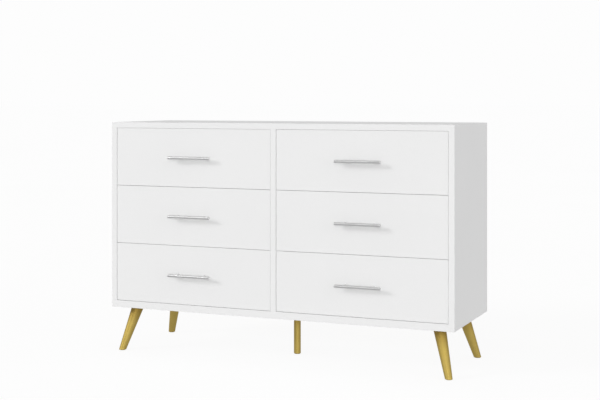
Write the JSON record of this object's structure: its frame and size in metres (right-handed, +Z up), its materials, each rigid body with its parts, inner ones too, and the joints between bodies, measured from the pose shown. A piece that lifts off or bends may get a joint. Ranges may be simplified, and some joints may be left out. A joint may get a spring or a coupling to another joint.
{
  "type": "dresser with drawers",
  "caption": "Low wide dresser: white board body on splayed tapered metal legs, two columns of inset drawers with bar handles on telescopic runners.",
  "frame": {"origin": "on the floor, under the centre of the overall box with the drawers shut", "axes": "+X to the right along the width, +Y towards the back, +Z up; the drawers open towards -Y"},
  "size_m": [1.2, 0.428, 0.777],
  "materials": {
    "white_board": "smooth satin white paint on fibreboard",
    "drawer_board": "white laminate on particle board",
    "drawer_bottom_board": "white-faced hardboard",
    "back_board": "bare brown hardboard",
    "gold_metal": "satin gold",
    "nickel_metal": "satin nickel",
    "zinc_steel": "bright zinc",
    "black_plastic": "matte black"
  },
  "bodies": {
    "carcass": {"top_panel": "white_board", "bottom_panel": "white_board", "left_side_panel": "white_board", "right_side_panel": "white_board", "middle_panel": "white_board", "back_panel": "back_board", "panel_fittings": "zinc_steel", "cabinet_runners": "zinc_steel", "body_screws": "zinc_steel", "leg_plates": "zinc_steel", "middle_leg": "gold_metal", "leg_glides": "black_plastic", "leg_front_left": "gold_metal", "leg_front_right": "gold_metal", "leg_rear_left": "gold_metal", "leg_rear_right": "gold_metal"},
    "drawer_bottom_left": {"drawer_bottom_left_front": "white_board", "drawer_bottom_left_sides": "drawer_board", "drawer_bottom_left_back": "drawer_board", "drawer_bottom_left_bottom": "drawer_bottom_board", "drawer_bottom_left_handle": "nickel_metal", "drawer_bottom_left_runners": "zinc_steel"},
    "drawer_bottom_right": {"drawer_bottom_right_front": "white_board", "drawer_bottom_right_sides": "drawer_board", "drawer_bottom_right_back": "drawer_board", "drawer_bottom_right_bottom": "drawer_bottom_board", "drawer_bottom_right_handle": "nickel_metal", "drawer_bottom_right_runners": "zinc_steel"},
    "drawer_middle_left": {"drawer_middle_left_front": "white_board", "drawer_middle_left_sides": "drawer_board", "drawer_middle_left_back": "drawer_board", "drawer_middle_left_bottom": "drawer_bottom_board", "drawer_middle_left_handle": "nickel_metal", "drawer_middle_left_runners": "zinc_steel"},
    "drawer_middle_right": {"drawer_middle_right_front": "white_board", "drawer_middle_right_sides": "drawer_board", "drawer_middle_right_back": "drawer_board", "drawer_middle_right_bottom": "drawer_bottom_board", "drawer_middle_right_handle": "nickel_metal", "drawer_middle_right_runners": "zinc_steel"},
    "drawer_top_left": {"drawer_top_left_front": "white_board", "drawer_top_left_sides": "drawer_board", "drawer_top_left_back": "drawer_board", "drawer_top_left_bottom": "drawer_bottom_board", "drawer_top_left_handle": "nickel_metal", "drawer_top_left_runners": "zinc_steel"},
    "drawer_top_right": {"drawer_top_right_front": "white_board", "drawer_top_right_sides": "drawer_board", "drawer_top_right_back": "drawer_board", "drawer_top_right_bottom": "drawer_bottom_board", "drawer_top_right_handle": "nickel_metal", "drawer_top_right_runners": "zinc_steel"},
    "middle_runners_bottom_left": {"middle_runners_bottom_left": "zinc_steel"},
    "middle_runners_bottom_right": {"middle_runners_bottom_right": "zinc_steel"},
    "middle_runners_middle_left": {"middle_runners_middle_left": "zinc_steel"},
    "middle_runners_middle_right": {"middle_runners_middle_right": "zinc_steel"},
    "middle_runners_top_left": {"middle_runners_top_left": "zinc_steel"},
    "middle_runners_top_right": {"middle_runners_top_right": "zinc_steel"}
  },
  "joints": [
    {"name": "drawer_bottom_left_slide", "type": "slide", "parent": "carcass", "child": "drawer_bottom_left", "axis": [0, -1, 0], "range_m": [0, 0.35]},
    {"name": "drawer_bottom_right_slide", "type": "slide", "parent": "carcass", "child": "drawer_bottom_right", "axis": [0, -1, 0], "range_m": [0, 0.35]},
    {"name": "drawer_middle_left_slide", "type": "slide", "parent": "carcass", "child": "drawer_middle_left", "axis": [0, -1, 0], "range_m": [0, 0.35]},
    {"name": "drawer_middle_right_slide", "type": "slide", "parent": "carcass", "child": "drawer_middle_right", "axis": [0, -1, 0], "range_m": [0, 0.35]},
    {"name": "drawer_top_left_slide", "type": "slide", "parent": "carcass", "child": "drawer_top_left", "axis": [0, -1, 0], "range_m": [0, 0.35]},
    {"name": "drawer_top_right_slide", "type": "slide", "parent": "carcass", "child": "drawer_top_right", "axis": [0, -1, 0], "range_m": [0, 0.35]},
    {"name": "middle_runners_bottom_left_slide", "type": "slide", "parent": "carcass", "child": "middle_runners_bottom_left", "axis": [0, -1, 0], "range_m": [0, 0.175]},
    {"name": "middle_runners_bottom_right_slide", "type": "slide", "parent": "carcass", "child": "middle_runners_bottom_right", "axis": [0, -1, 0], "range_m": [0, 0.175]},
    {"name": "middle_runners_middle_left_slide", "type": "slide", "parent": "carcass", "child": "middle_runners_middle_left", "axis": [0, -1, 0], "range_m": [0, 0.175]},
    {"name": "middle_runners_middle_right_slide", "type": "slide", "parent": "carcass", "child": "middle_runners_middle_right", "axis": [0, -1, 0], "range_m": [0, 0.175]},
    {"name": "middle_runners_top_left_slide", "type": "slide", "parent": "carcass", "child": "middle_runners_top_left", "axis": [0, -1, 0], "range_m": [0, 0.175]},
    {"name": "middle_runners_top_right_slide", "type": "slide", "parent": "carcass", "child": "middle_runners_top_right", "axis": [0, -1, 0], "range_m": [0, 0.175]}
  ],
  "couplings": [
    {"joint": "middle_runners_bottom_left_slide", "follows": "drawer_bottom_left_slide", "ratio": 0.5},
    {"joint": "middle_runners_bottom_right_slide", "follows": "drawer_bottom_right_slide", "ratio": 0.5},
    {"joint": "middle_runners_middle_left_slide", "follows": "drawer_middle_left_slide", "ratio": 0.5},
    {"joint": "middle_runners_middle_right_slide", "follows": "drawer_middle_right_slide", "ratio": 0.5},
    {"joint": "middle_runners_top_left_slide", "follows": "drawer_top_left_slide", "ratio": 0.5},
    {"joint": "middle_runners_top_right_slide", "follows": "drawer_top_right_slide", "ratio": 0.5}
  ]
}
